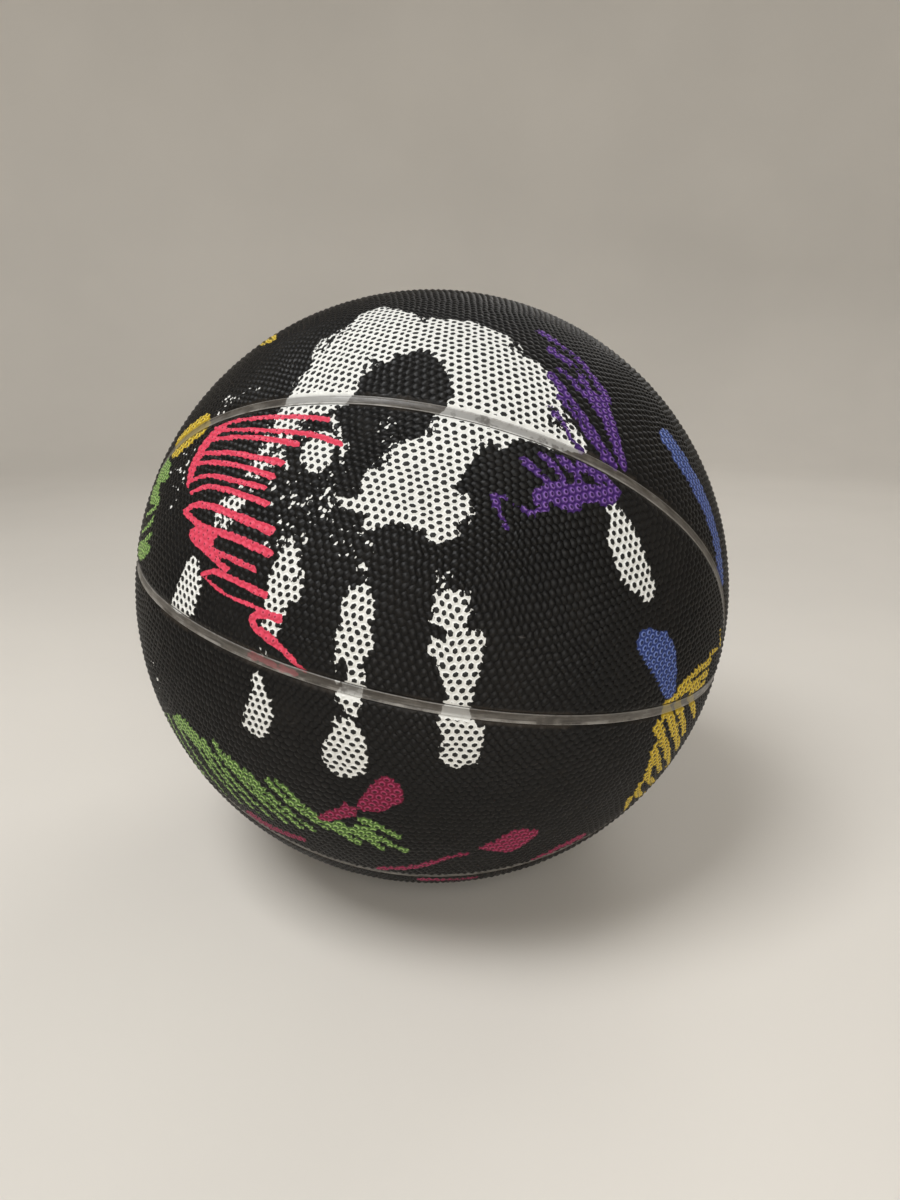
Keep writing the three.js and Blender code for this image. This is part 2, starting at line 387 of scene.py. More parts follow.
def union_of(at, shapes, field):
    """The strongest field of several shapes, worked out only close to each one."""
    best = np.full(len(at), -FIELD_REACH)
    for shape in shapes:
        points = np.array(shape[0] if field is stroke_field else shape, float)
        low = points.min(0) - FIELD_REACH - STROKE_ROOM
        high = points.max(0) + FIELD_REACH + STROKE_ROOM
        near = np.flatnonzero(((at > low) & (at < high)).all(1))
        if len(near):
            values = field(at[near], *shape) if field is stroke_field else field(at[near], shape)
            best[near] = np.maximum(best[near], values)
    return np.clip(best, -FIELD_REACH, FIELD_REACH)


WHITE_OUTLINES = (
    # heel and palm above the seam
    ((-57, 50), (-57, 62), (-54, 68), (-57, 76), (-56, 84), (-50, 92), (-46, 102), (-42, 107), (-38, 108),
     (-30, 104), (-24, 103), (-18, 100), (-4, 102), (8, 100), (14, 98), (21, 90), (27, 86), (32, 79),
     (40, 66), (47, 56), (36, 53), (25, 53), (19, 48), (12, 45), (9, 38), (8, 31), (12, 29), (14, 23),
     (12, 18), (5, 13), (1, 16), (-6, 17), (-12, 15), (-17, 11), (-16, 16), (-20, 19), (-27, 18), (-26, 21),
     (-20, 23), (-20, 30), (-15, 40), (-9, 44), (-5, 49), (-10, 51), (-30, 52), (-36, 51), (-38, 48),
     (-46, 46), (-48, 37), (-50, 30), (-54, 27), (-57, 18), (-62, 8), (-66, 4), (-71, 5), (-70, 12),
     (-65, 18), (-61, 28), (-60, 40)),
    # islands beside the palm
    ((-44, 38), (-38, 40), (-33, 38), (-32, 34), (-34, 29), (-38, 27), (-42, 31)),
    ((-4, 53), (0, 56), (6, 54), (2, 49), (-2, 48)),
    # little finger
    ((-79, -8), (-73, -9), (-71, -17), (-72, -24), (-76, -28), (-84, -28), (-86, -25), (-82, -13)),
    # ring finger and its tip
    ((-40, 5), (-38, 8), (-35, 4), (-34, 1), (-34, -2), (-32, -4), (-31, -9), (-34, -14), (-36, -17),
     (-37, -24), (-40, -25), (-43, -23), (-41, -18), (-43, -16), (-43, -9), (-42, -4), (-41, 0)),
    ((-42, -29), (-39, -29), (-39, -32), (-42, -32)),
    ((-43, -39), (-40, -41), (-39, -43), (-36, -46), (-35, -52), (-37, -58), (-39, -61), (-44, -61),
     (-47, -59), (-46, -53), (-44, -48)),
    # middle finger and its tip
    ((-17, -4), (-13, -4), (-11, -2), (-9, -9), (-8, -14), (-7, -19), (-8, -25), (-7, -30), (-7, -43),
     (-10, -44), (-13, -42), (-15, -38), (-13, -33), (-14, -28), (-17, -24), (-18, -20), (-17, -14),
     (-18, -11), (-17, -7)),
    ((-14, -46), (-7, -46), (-4, -50), (-2, -55), (-1, -61), (-3, -65), (-7, -67), (-11, -68), (-14, -65),
     (-16, -60), (-15, -52)),
    # forefinger and its tip
    ((12, 3), (14, 2), (16, 0), (17, -3), (20, -4), (21, -8), (25, -10), (26, -15), (26, -24), (26, -29),
     (27, -36), (32, -38), (33, -43), (33, -49), (32, -52), (28, -54), (24, -54), (21, -51), (21, -47),
     (19, -42), (18, -36), (18, -29), (15, -25), (14, -22), (11, -19), (10, -15), (13, -12), (10, -10),
     (9, -6), (9, -1)),
    # thumb
    ((55, 42), (60, 41), (64, 38), (70, 32), (76, 25), (81, 19), (82, 16), (78, 12), (72, 14), (66, 17),
     (61, 24), (58, 31), (58, 36)),
)
WHITE_STROKES = (
    (((-37, 47), (-33, 43), (-30, 38), (-29, 33)), 2.0),
    (((-45, 39), (-38, 41), (-32, 38)), 2.0),
    (((-50, 31), (-46, 27)), 1.6),
    (((-16, 0), (-15, 2), (-13, 1), (-12, -3)), 1.3),
    (((-16, -25), (-16, -28), (-15, -34)), 1.4),
    (((9, 4), (11, 4), (11, 6)), 1.1),
    (((16, -1), (18, -1), (18, 1)), 1.1),
    (((2, 52), (4, 57)), 2.0),
    (((-18, 20), (-23, 20), (-28, 19)), 4.0),
)
WHITE_HOLES = (
    ((-34, 53), (-33, 58), (-31, 66), (-27, 72), (-20, 78), (-14, 80), (-8, 76), (-4, 71), (-1, 64),
     (-1, 59), (-3, 54), (-6, 47), (-13, 42), (-18, 39), (-28, 38), (-32, 42), (-36, 48)),
)
PINK_STROKES = (
    (((-38, 46), (-50, 46), (-74, 44), (-87, 41)), 1.9),
    (((-31, 38), (-42, 40), (-63, 40), (-83, 40)), 2.1),
    (((-46, 36), (-60, 37), (-72, 37), (-88, 36)), 2.3),
    (((-49, 29), (-61, 30), (-74, 31), (-90, 30)), 2.4),
    (((-51, 24), (-63, 26), (-79, 27), (-93, 26)), 2.3),
    (((-53, 20), (-65, 21), (-80, 22), (-91, 19)), 2.1),
    (((-50, 15), (-63, 17), (-78, 18), (-87, 15)), 2.3),
    (((-46, 7), (-58, 9), (-72, 11), (-82, 11), (-88, 8)), 3.1),
    (((-45, 0), (-56, 2), (-66, 3), (-77, 4), (-88, 8)), 3.1),
    (((-49, -6), (-61, -4), (-70, -3), (-81, 0)), 2.3),
    (((-60, -8), (-66, -6), (-80, -1)), 2.2),
    (((-43, -13), (-55, -11), (-65, -10), (-71, -12)), 2.5),
    (((-37, -19), (-43, -18), (-51, -17), (-60, -16), (-71, -12)), 1.5),
    (((-37, -19), (-43, -19), (-47, -22), (-41, -26), (-35, -28)), 2.8),
    (((-43, -24), (-36, -27), (-30, -31), (-25, -34)), 2.3),
    (((-46, -33), (-38, -34), (-29, -35)), 2.6),
)
PINK_OUTLINES = (
    ((-84, 42), (-79, 40), (-85, 37), (-87, 31), (-89, 24), (-89, 17), (-92, 18), (-94, 26), (-92, 34),
     (-89, 39)),
    ((-82, 1), (-77, 4), (-68, 3), (-68, -1), (-71, -4), (-78, -3)),
)
PURPLE_STROKES = (
    (((25, 109), (37, 102), (45, 94), (51, 88), (54, 82)), 3.8),
    (((30, 98), (39, 93), (45, 85), (51, 77), (55, 68)), 5.0),
    (((40, 100), (47, 93), (51, 86), (54, 76), (57, 68), (61, 57)), 4.4),
    (((34, 88), (42, 82), (48, 77), (53, 71), (58, 62), (62, 55)), 3.5),
    (((31, 83), (38, 75), (44, 69), (49, 63), (54, 59), (58, 54)), 3.2),
    (((35, 74), (40, 69), (46, 63), (49, 60), (54, 56)), 3.0),
    (((32, 68), (36, 64), (41, 58), (45, 55)), 2.6),
    (((26, 46), (30, 43), (34, 41), (38, 38)), 2.8),
    (((31, 49), (34, 48), (38, 45), (41, 41)), 2.8),
    (((38, 50), (40, 49), (44, 46), (49, 41)), 3.2),
    (((45, 50), (50, 48), (54, 45), (57, 43)), 3.2),
    (((50, 50), (55, 48), (60, 45)), 3.0),
    (((36, 32), (34, 31), (31, 29), (28, 30), (24, 31), (22, 32)), 2.0),
    (((19, 32), (20, 30), (22, 27), (25, 23)), 2.2),
)
PURPLE_OUTLINES = (
    ((31, 37), (35, 40), (40, 42), (47, 44), (56, 46), (60, 46), (60, 42), (57, 39), (50, 38), (47, 35),
     (44, 33), (36, 34), (32, 32)),
)
BLUE_OUTLINES = (
    ((77, -2), (80, 2), (85, 3), (91, 3), (97, -1), (101, -7), (104, -14), (106, -20), (102, -22),
     (97, -19), (90, -13), (82, -8)),
    ((80, 80), (85, 86), (92, 82), (100, 76), (110, 69), (121, 57), (130, 40), (133, 28), (127, 30),
     (119, 43), (111, 53), (100, 62), (88, 71)),
)
YELLOW_STROKES = (
    (((103, -24), (109, -19), (116, -16)), 4.4),
    (((108, -20), (113, -14), (120, -9), (131, -5)), 4.4),
    (((112, -18), (121, -14), (131, -10)), 4.6),
    (((120, -18), (131, -15)), 4.2),
    (((129, -5), (130, -1), (143, 2)), 2.2),
    (((143, 3), (137, 10)), 2.0),
    (((120, -21), (136, -32)), 4.4),
    (((111, -24), (131, -40)), 4.6),
    (((104, -26), (118, -37), (133, -49)), 5.2),
    (((102, -33), (119, -47), (137, -61)), 5.2),
    (((104, -27), (103, -37)), 3.4),
    (((107, -45), (126, -61)), 4.8),
    (((106, -41), (109, -51)), 3.0),
    (((110, -54), (116, -62), (135, -73)), 4.6),
    (((111, -64), (116, -72), (133, -81)), 4.6),
    (((111, -73), (117, -84)), 4.0),
)
YELLOW_OUTLINES = (
    ((-99, 49), (-94, 45), (-94, 40), (-101, 35), (-112, 30), (-119, 33), (-120, 41), (-110, 46)),
    ((-106, 103), (-98, 104), (-88, 95), (-87, 90), (-96, 91), (-104, 96)),
)
GREEN_STROKES = (
    (((-107, -86), (-97, -100), (-86, -112)), 3.4),
    (((-100, -81), (-88, -98), (-76, -112)), 3.4),
    (((-91, -78), (-80, -93), (-66, -109)), 3.5),
    (((-83, -74), (-72, -88), (-56, -107)), 3.6),
    (((-76, -76), (-64, -90), (-47, -106)), 3.6),
    (((-69, -78), (-57, -90), (-39, -105)), 3.4),
    (((-62, -75), (-50, -88), (-32, -103)), 3.6),
    (((-55, -79), (-43, -89), (-25, -102)), 3.5),
    (((-47, -81), (-36, -90), (-19, -101)), 3.0),
    (((-38, -81), (-27, -89), (-14, -97)), 3.4),
    (((-33, -80), (-22, -88), (-8, -97)), 3.2),
    (((-17, -91), (-8, -96), (-1, -101)), 4.2),
    (((-9, -92), (2, -96), (8, -101)), 4.2),
    (((-2, -91), (8, -95), (17, -100)), 4.2),
    (((0, -86), (5, -87), (13, -91)), 4.0),
    (((-1, -91), (5, -88)), 3.0),
    (((-114, 9), (-120, 6), (-128, 4)), 2.6),
    (((-114, 3), (-121, -1), (-130, -4)), 2.6),
    (((-113, -4), (-121, -7), (-130, -9)), 2.8),
)
GREEN_OUTLINES = (
    ((-128, 31), (-118, 30), (-112, 24), (-111, 20), (-119, 18), (-128, 20)),
    ((-130, 18), (-119, 17), (-114, 13), (-113, 9), (-122, 9), (-129, 11)),
    ((-136, -9), (-114, -7), (-111, -10), (-116, -14), (-124, -16), (-134, -14)),
    ((-92, -77), (-82, -72), (-74, -76), (-66, -80), (-60, -83), (-70, -84), (-82, -82)),
    ((-62, -76), (-56, -78), (-46, -86), (-52, -86), (-60, -82)),
)
MAROON_STROKES = (
    (((-6, -82), (-10, -86), (-15, -90)), 6.2),
    (((31, -105), (35, -101), (40, -98)), 2.6),
    (((8, -121), (20, -115), (31, -105)), 4.4),
    (((94, -96), (84, -101), (76, -110)), 6.0),
    (((-52, -114), (-40, -116), (-26, -113)), 6.0),
    (((28, -132), (52, -129)), 6.0),
)
MAROON_OUTLINES = (
    ((5, -63), (10, -65), (12, -70), (9, -75), (3, -80), (-3, -80), (-2, -74), (1, -67)),
    ((44, -94), (49, -88), (53, -83), (59, -81), (66, -83), (64, -89), (59, -97), (51, -96)),
)
# Where the brush or hand was nearly dry: middle and reach
DRY_SPOTS = (
    ((-57, 80), 10), ((-51, 90), 7), ((-58, 62), 7), ((-57, 36), 11), ((-61, 20), 8), ((-68, 7), 6),
    ((-18, 36), 7), ((-6, 50), 6), ((13, 20), 5), ((14, 46), 5), ((-38, 7), 4), ((-34, -6), 3),
    ((-15, 1), 4), ((-15, -30), 4), ((12, 2), 3), ((20, -6), 4), ((12, -12), 4), ((-41, -30), 4),
    ((18, 93), 7), ((36, 66), 8), ((-31, 70), 5), ((-45, 42), 7), ((-12, -43), 3), ((36, 100), 9),
    ((-20, 100), 5), ((-28, 20), 3), ((42, 92), 14), ((27, 31), 6),
)
# Where paint was spattered: middle and reach
SPATTER_SPOTS = (
    ((-45, 20), 12), ((-36, 14), 13), ((-24, 14), 11), ((-30, 26), 9), ((-44, 5), 7), ((-101, 24), 13),
    ((-97, 12), 8), ((-101, 34), 9), ((-88, 53), 8), ((-76, 57), 6), ((-103, -61), 9), ((9, 5), 5),
    ((-46, 44), 8), ((-18, 45), 6), ((-16, 8), 8),
)


def spot_field(at, spots):
    """0 to 1: how close each place is to the middle of a spot."""
    best = np.zeros(len(at))
    for middle, reach in spots:
        gap = np.linalg.norm(at - middle, axis=1)
        best = np.maximum(best, 1 - gap / reach)
    return best


def paint_fields(directions):
    """Signed distances in mm, per colour, and the dry and spattered places."""
    at = chart(directions, CHART_MIDDLE, CHART_RIGHT)
    fields = {}
    for name, outlines, strokes in (
        ("white", WHITE_OUTLINES, WHITE_STROKES),
        ("pink", PINK_OUTLINES, PINK_STROKES),
        ("purple", PURPLE_OUTLINES, PURPLE_STROKES),
        ("blue", BLUE_OUTLINES, ()),
        ("yellow", YELLOW_OUTLINES, YELLOW_STROKES),
        ("green", GREEN_OUTLINES, GREEN_STROKES),
        ("maroon", MAROON_OUTLINES, MAROON_STROKES),
    ):
        outlined = union_of(at, outlines, outline_field)
        fields[name] = np.maximum(outlined, union_of(at, strokes, stroke_field))
    fields["white"] = np.minimum(fields["white"], -union_of(at, WHITE_HOLES, outline_field))
    fields["dry"] = spot_field(at, DRY_SPOTS)
    fields["spatter"] = spot_field(at, SPATTER_SPOTS)
    return fields


# ---------------------------------------------------------------- making meshes

def new_mesh(name, points, faces, uv, attributes, sharp_deg=40.0):
    """A mesh object riding on the ball, from arrays; uv holds one place for each corner of each face."""
    mesh = bpy.data.meshes.new(name)
    mesh.vertices.add(len(points))
    mesh.vertices.foreach_set("co", np.ascontiguousarray(points, np.float32).ravel())
    sides = faces.shape[1]
    mesh.loops.add(faces.size)
    mesh.loops.foreach_set("vertex_index", faces.astype(np.int32).ravel())
    mesh.polygons.add(len(faces))
    mesh.polygons.foreach_set("loop_start", np.arange(0, faces.size, sides, dtype=np.int32))
    mesh.update(calc_edges=True)
    mesh.shade_smooth()
    mesh.set_sharp_from_angle(angle=math.radians(sharp_deg))
    layer = mesh.uv_layers.new(name="OFBake")
    layer.uv.foreach_set("vector", uv.astype(np.float32).reshape(-1, 2).ravel())
    for key, values in attributes.items():
        attribute = mesh.attributes.new(key, "FLOAT", "POINT")
        attribute.data.foreach_set("value", np.ascontiguousarray(values, np.float32))
    piece = bpy.data.objects.new(name, mesh)
    bpy.context.scene.collection.objects.link(piece)
    return piece


def hand_over(piece, node, material):
    """Gives a finished piece its material and its place in the frame."""
    piece.data.materials.append(material)
    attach(piece, "root")
    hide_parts(node)


# ---------------------------------------------------------------- cover panels

VALLEY_RADIUS = BALL_RADIUS - PEBBLE_HEIGHT
RIM_REACH = 1.0
LIP_DROP = 0.35
INNER_POINT_SPACING = 9.0
CDT_TOLERANCE = 1e-7
PANEL_MIDDLE_DEG = {"leaf": 22.0, "band": 66.0}
# On a panel's UV map, in mm: the room taken by the lip and by the rim's wall, and the margins
LIP_ROOM = 0.8
WALL_ROOM = 2.0
UV_MARGIN = 2.0


def open_edges(triangles):
    """Directed edges that only one triangle has."""
    edges = np.concatenate([triangles[:, [0, 1]], triangles[:, [1, 2]], triangles[:, [2, 0]]])
    span = int(triangles.max()) + 1
    ahead = edges[:, 0] * span + edges[:, 1]
    back = edges[:, 1] * span + edges[:, 0]
    return edges[~np.isin(ahead, back)]


def chained(edges):
    """The loops that directed edges make."""
    following = dict(edges.tolist())
    loops = []
    while following:
        start, here = following.popitem()
        loop = [start]
        while here != start:
            loop.append(here)
            here = following.pop(here)
        loops.append(loop)
    return loops


def even_directions(spacing):
    """Evenly spread directions, about the given spacing in mm apart."""
    count = int(4 * math.pi * BALL_RADIUS**2 / spacing**2)
    step = np.arange(count) + 0.5
    z = 1 - 2 * step / count
    around = step * math.pi * (1 + math.sqrt(5))
    flat = np.sqrt(1 - z * z)
    return np.stack([flat * np.cos(around), flat * np.sin(around), z], 1)


def lining_triangles(rim_places, loops, inner_places):
    """Triangles over a panel's inside, between its rim points and the loose points."""
    places = [Vector(p) for p in np.concatenate([rim_places, inner_places])]
    areas = []
    for loop in loops:
        x, y = rim_places[loop].T
        areas.append(float(np.sum(x * np.roll(y, -1) - np.roll(x, -1) * y)))
    faces = [loop if area > 0 else loop[::-1] for loop, area in zip(loops, areas)]
    holes = {n for n, area in enumerate(areas) if area < 0}
    _, _, found, source, _, sources = delaunay_2d_cdt(places, [], faces, 1, CDT_TOLERANCE)
    merged = {n: origin[0] for n, origin in enumerate(source) if origin}
    kept = []
    for triangle, origins in zip(found, sources):
        if not holes & set(origins):
            kept.append([merged[n] for n in triangle])
    return np.array(kept)


def make_panel(name, grid, members, middle, loose):
    """One cover panel: pebbled outside, rim, and plain inside."""
    directions, rims, heights, fields = grid
    used, triangles = np.unique(members, return_inverse=True)
    triangles = triangles.reshape(-1, 3)
    outside = directions[used]
    rim = rims[used]
    fade = smoothstep(0.1, RIM_REACH, rim)
    pebble = heights[used] * fade
    fall = RIM_FALL * (1 - np.clip(rim / RIM_REACH, 0, 1)) ** 2
    top = VALLEY_RADIUS + PEBBLE_HEIGHT * pebble - fall

    edges = open_edges(triangles)
    border, edge_ends = np.unique(edges, return_inverse=True)
    edge_ends = edge_ends.reshape(-1, 2)
    count = len(outside)
    across = len(border)
    lip = wall_points(outside[border], top[border] - LIP_DROP)
    bottom = wall_points(outside[border], COVER_INNER_RADIUS)
    inside = wall_points(loose, COVER_INNER_RADIUS)
    points = np.concatenate([wall_points(outside, top), lip, bottom, inside])

    skirt = []
    a, b = edge_ends.T
    levels = (border, count + np.arange(across), count + across + np.arange(across))
    for upper, lower in zip(levels[:-1], levels[1:]):
        skirt.append(np.stack([upper[a], lower[a], lower[b]], 1))
        skirt.append(np.stack([upper[a], lower[b], upper[b]], 1))
    skirt = np.concatenate(skirt)

    places = chart(outside, middle, CHART_RIGHT)
    rim_places = places[border]
    inner_places = chart(loose, middle, CHART_RIGHT)
    inner = lining_triangles(rim_places, chained(edge_ends), inner_places)
    inner = inner[:, ::-1] + count + across

    along = rim_places[b] - rim_places[a]
    outwards = np.zeros_like(rim_places)
    for end in (a, b):
        np.add.at(outwards, end, np.stack([along[:, 1], -along[:, 0]], 1))
    outwards = normalized(outwards + 1e-12)
    half = np.abs(places).max() + 2 * UV_MARGIN
    shift = np.ptp(places[:, 1]) + 4 * UV_MARGIN
    lip_places = rim_places + LIP_ROOM * outwards
    bottom_places = rim_places + WALL_ROOM * outwards
    outer_uv = np.concatenate([places, lip_places, bottom_places, inner_places])
    inner_uv = np.concatenate([places, rim_places, rim_places, inner_places]) + (0, shift)
    uv = np.concatenate([outer_uv[np.concatenate([triangles, skirt])], inner_uv[inner]])
    low = uv.reshape(-1, 2).min(0)
    uv = (uv - low + UV_MARGIN) / (2 * half + 2 * UV_MARGIN)

    faces = np.concatenate([triangles, skirt, inner])
    hidden = len(points) - count - across
    attributes = {
        "pebble": np.concatenate([pebble, np.zeros(len(points) - count)]),
        "rim": np.concatenate([rim, np.zeros(len(points) - count)]),
    }
    for key, values in fields.items():
        bare = 0.0 if key in ("dry", "spatter") else -FIELD_REACH
        shown = values[used]
        attributes[key] = np.concatenate([shown, shown[border], np.full(hidden, bare)])
    return new_mesh(name, points, faces, uv, attributes)


def make_panels(material):
    directions, heights, triangles = geodesic_grid()
    directions = settle_rows(directions)
    rims = rim_distance(directions)
    snap_to_rims(directions, rims)
    directions, rims, heights, triangles = cut_at_rims(directions, rims, heights, triangles)
    fields = paint_fields(directions)
    loose = even_directions(INNER_POINT_SPACING)
    loose = loose[rim_distance(loose) > INNER_POINT_SPACING / 3]

    def sector(spots):
        inside = seam_distances(spots)[3]
        return (spots[:, 0] > 0) * 1 + (spots[:, 2] > 0) * 2 + inside * 4

    of_triangle = sector(normalized(directions[triangles].mean(1)))
    of_loose = sector(loose)
    grid = (directions, rims, heights, fields)
    for code in range(8):
        end = "front" if code & 1 else "rear"
        side = "upper" if code & 2 else "lower"
        kind = "leaf" if code & 4 else "band"
        node = f"{kind}_panel_{end}_{side}"
        middle = from_angles(PANEL_MIDDLE_DEG[kind], 0.0)
        middle *= (1 if code & 1 else -1, 1, 1 if code & 2 else -1)
        members = triangles[of_triangle == code]
        panel = make_panel("pebbled_" + node, grid, members, middle, loose[of_loose == code])
        hand_over(panel, node, material)


# ---------------------------------------------------------------- seam strips

STRIP_STEP = 1.5
RING_CLEARANCE = 2.4
ARCH_CLEARANCE = 2.05
ROW_SPACING = 1.15
# Where the ends of an open strip lie on its UV map
CAP_UV_SIZE = 300
CAP_UV_PLACE = (0.98, 0.99)
CAP_UV_GAP = 0.04
# Across the strip: the place in half widths and the distance from the ball's middle
STRIP_SECTION = (
    (-1.00, COVER_INNER_RADIUS), (-1.00, 118.25), (-0.92, 118.42), (-0.80, 118.44), (-0.68, 118.28),
    (-0.35, 118.20), (0.35, 118.20), (0.68, 118.28), (0.80, 118.44), (0.92, 118.42), (1.00, 118.25),
    (1.00, COVER_INNER_RADIUS),
)


def halved(*corners):
    """The two triangles of every cell of a grid, from the arrays of the cells' four corners in order."""
    cells = np.stack(corners, 2)
    halves = np.concatenate([cells[:, :, [0, 1, 2]], cells[:, :, [0, 2, 3]]])
    return halves.reshape(-1, 3, *cells.shape[3:])


def grid_uv(u1, u2, v1, v2):
    """UV places of the same triangles."""
    return halved(*(np.stack(place, -1) for place in ((u1, v1), (u2, v1), (u2, v2), (u1, v2))))


def make_strip(name, line, is_closed):
    """A seam strip with a small bead at each edge, along a chain of directions."""
    count = len(line)
    if is_closed:
        ahead = np.roll(line, -1, 0) - np.roll(line, 1, 0)
    else:
        ahead = np.gradient(line, axis=0)
    sideways = normalized(np.cross(line, ahead))
    offsets = np.array([place for place, _ in STRIP_SECTION]) * STRIP_HALF_WIDTH
    radii = np.array([radius for _, radius in STRIP_SECTION])
    spots = normalized(line[:, None] + sideways[:, None] * (offsets / BALL_RADIUS)[None, :, None])
    flat_spots = spots.reshape(-1, 3)
    points = wall_points(flat_spots, np.tile(radii, count))
    lap = len(radii)
    reach = np.concatenate([[0], np.cumsum(np.linalg.norm(np.diff(line, axis=0), axis=1))]) * BALL_RADIUS

    a = np.arange(count if is_closed else count - 1)[:, None] * lap + np.arange(lap)[None]
    b = (a + lap) % (count * lap)
    faces = halved(a, b, np.roll(b, -1, 1), np.roll(a, -1, 1))
    around = np.concatenate([[0], np.cumsum(np.hypot(np.diff(offsets), np.diff(radii)))])
    around = np.append(around, around[-1] + 2 * STRIP_HALF_WIDTH)
    row_height = around[-1] * ROW_SPACING
    rows = max(1, round(math.sqrt(reach[-1] / row_height)))
    row_length = reach[-1] / rows + STRIP_STEP
    start = reach[a // lap]
    row = np.minimum(start // row_length, rows - 1)
    level = np.broadcast_to(np.arange(lap), a.shape)
    u1 = (start - row * row_length) / (row_length + STRIP_STEP)
    u2 = u1 + STRIP_STEP / (row_length + STRIP_STEP)
    v1 = (row + around[level] / row_height) / rows
    v2 = (row + around[level + 1] / row_height) / rows
    uv = grid_uv(u1, u2, v1, v2)
    if not is_closed:
        fan = np.array([(0, k, k + 1) for k in range(1, lap - 1)])
        last = (count - 1) * lap
        faces = np.concatenate([faces, fan, fan[:, ::-1] + last])
        cap = np.stack([offsets, radii - COVER_INNER_RADIUS], 1) / CAP_UV_SIZE + CAP_UV_PLACE
        uv = np.concatenate([uv, cap[fan], cap[fan[:, ::-1]] - (CAP_UV_GAP, 0)])
    fields = paint_fields(flat_spots)
    attributes = {
        "across": np.tile(offsets / STRIP_HALF_WIDTH, count),
        "low": np.outer(-(sideways @ BALL_TO_WORLD.T)[:, 2], offsets / STRIP_HALF_WIDTH).ravel(),
        "along": np.repeat(reach, lap),
        **{key: fields[key] for key in ("white", "pink", "purple", "yellow", "green", "maroon")},
    }
    return new_mesh(name, points, faces, uv, attributes, sharp_deg=50.0)


def arc_steps(length):
    return max(8, round(length / STRIP_STEP))


def make_strips(material):
    """The ring, the two halves of the arches and the four halves of the loops."""
    around = np.linspace(0, 2 * math.pi, arc_steps(2 * math.pi * BALL_RADIUS), endpoint=False) + math.pi
    ring = np.stack([np.cos(around), np.sin(around), 0 * around], 1)
    hand_over(make_strip("strip_seam_ring", ring, True), "seam_ring", material)

    trim = ARCH_CLEARANCE / BALL_RADIUS
    angle = np.linspace(trim, math.pi - trim, arc_steps(math.pi * BALL_RADIUS))
    for name, z_sign in (("upper", 1), ("lower", -1)):
        arch = np.stack([0 * angle, np.cos(angle), z_sign * np.sin(angle)], 1)
        piece = make_strip(f"strip_seam_arch_{name}", arch, False)
        hand_over(piece, f"seam_arch_{name}", material)

    fine = loop_points(np.linspace(0, math.pi, LOOP_FINE_STEPS))
    fine = fine[fine[:, 2] * BALL_RADIUS > RING_CLEARANCE]
    reach = np.concatenate([[0], np.cumsum(np.linalg.norm(np.diff(fine, axis=0), axis=1))])
    even = np.linspace(0, reach[-1], arc_steps(reach[-1] * BALL_RADIUS))
    bow = normalized(np.stack([np.interp(even, reach, fine[:, k]) for k in range(3)], 1))
    for end, x_sign in (("front", 1), ("rear", -1)):
        for side, z_sign in (("upper", 1), ("lower", -1)):
            piece = make_strip(f"strip_seam_bow_{end}_{side}", bow * (x_sign, 1, z_sign), False)
            hand_over(piece, f"seam_bow_{end}_{side}", material)


# ---------------------------------------------------------------- valve

VALVE_STEPS = 64
# From the foot, round the flange and over the button to the bottom of the needle bore: radius and height
VALVE_SECTION = (
    (0.0, 103.7), (3.6, 103.7), (4.4, 104.2), (5.0, 105.4), (5.0, 111.7), (8.6, 111.7), (9.0, 112.1),
    (9.0, 113.3), (8.6, 113.7), (5.3, 113.7), (5.0, 114.0), (5.0, 118.15), (4.85, 118.45), (4.5, 118.62),
    (3.9, 118.7), (3.3, 118.68), (3.1, 118.5), (2.9, 118.46), (2.6, 118.46), (2.4, 118.52), (2.1, 118.5),
    (1.6, 118.3), (1.15, 117.9), (0.9, 117.2), (0.9, 109.9), (0.0, 109.7),
)


def make_valve(material):
    """The rubber valve with its needle bore, turned about its own axis."""
    axis = Vector(BALL_TO_WORLD @ VALVE_AXIS)
    upright = np.array(axis.to_track_quat("Z", "Y").to_matrix())
    section = np.array(VALVE_SECTION)
    turns = np.arange(VALVE_STEPS) * 2 * math.pi / VALVE_STEPS
    lap = len(section)
    spots = np.stack([
        np.cos(turns)[:, None] * section[:, 0], np.sin(turns)[:, None] * section[:, 0],
        np.broadcast_to(section[:, 1], (VALVE_STEPS, lap)),
    ], -1).reshape(-1, 3)
    points = (spots @ upright.T + (0, 0, CENTRE_HEIGHT)) * MM
    a = np.arange(VALVE_STEPS)[:, None] * lap + np.arange(lap - 1)[None]
    b = (a + lap) % (VALVE_STEPS * lap)
    u1 = np.broadcast_to(np.arange(VALVE_STEPS)[:, None] / VALVE_STEPS, a.shape)
    u2 = u1 + 1 / VALVE_STEPS
    rise = np.concatenate([[0], np.cumsum(np.hypot(*np.diff(section, axis=0).T))])
    v1 = np.broadcast_to(rise[:-1] / rise[-1], a.shape)
    v2 = np.broadcast_to(rise[1:] / rise[-1], a.shape)
    faces = halved(a, b, b + 1, a + 1)
    uv = grid_uv(u1, u2, v1, v2)
    on_axis = np.isin(faces % lap, (0, lap - 1))
    faces = np.where(on_axis, faces % lap, faces)
    real = (faces[:, 0] != faces[:, 1]) & (faces[:, 1] != faces[:, 2])
    used, faces = np.unique(faces[real], return_inverse=True)
    piece = new_mesh("moulded_valve", points[used], faces.reshape(-1, 3), uv[real], {})
    hand_over(piece, "valve", material)


# ---------------------------------------------------------------- materials

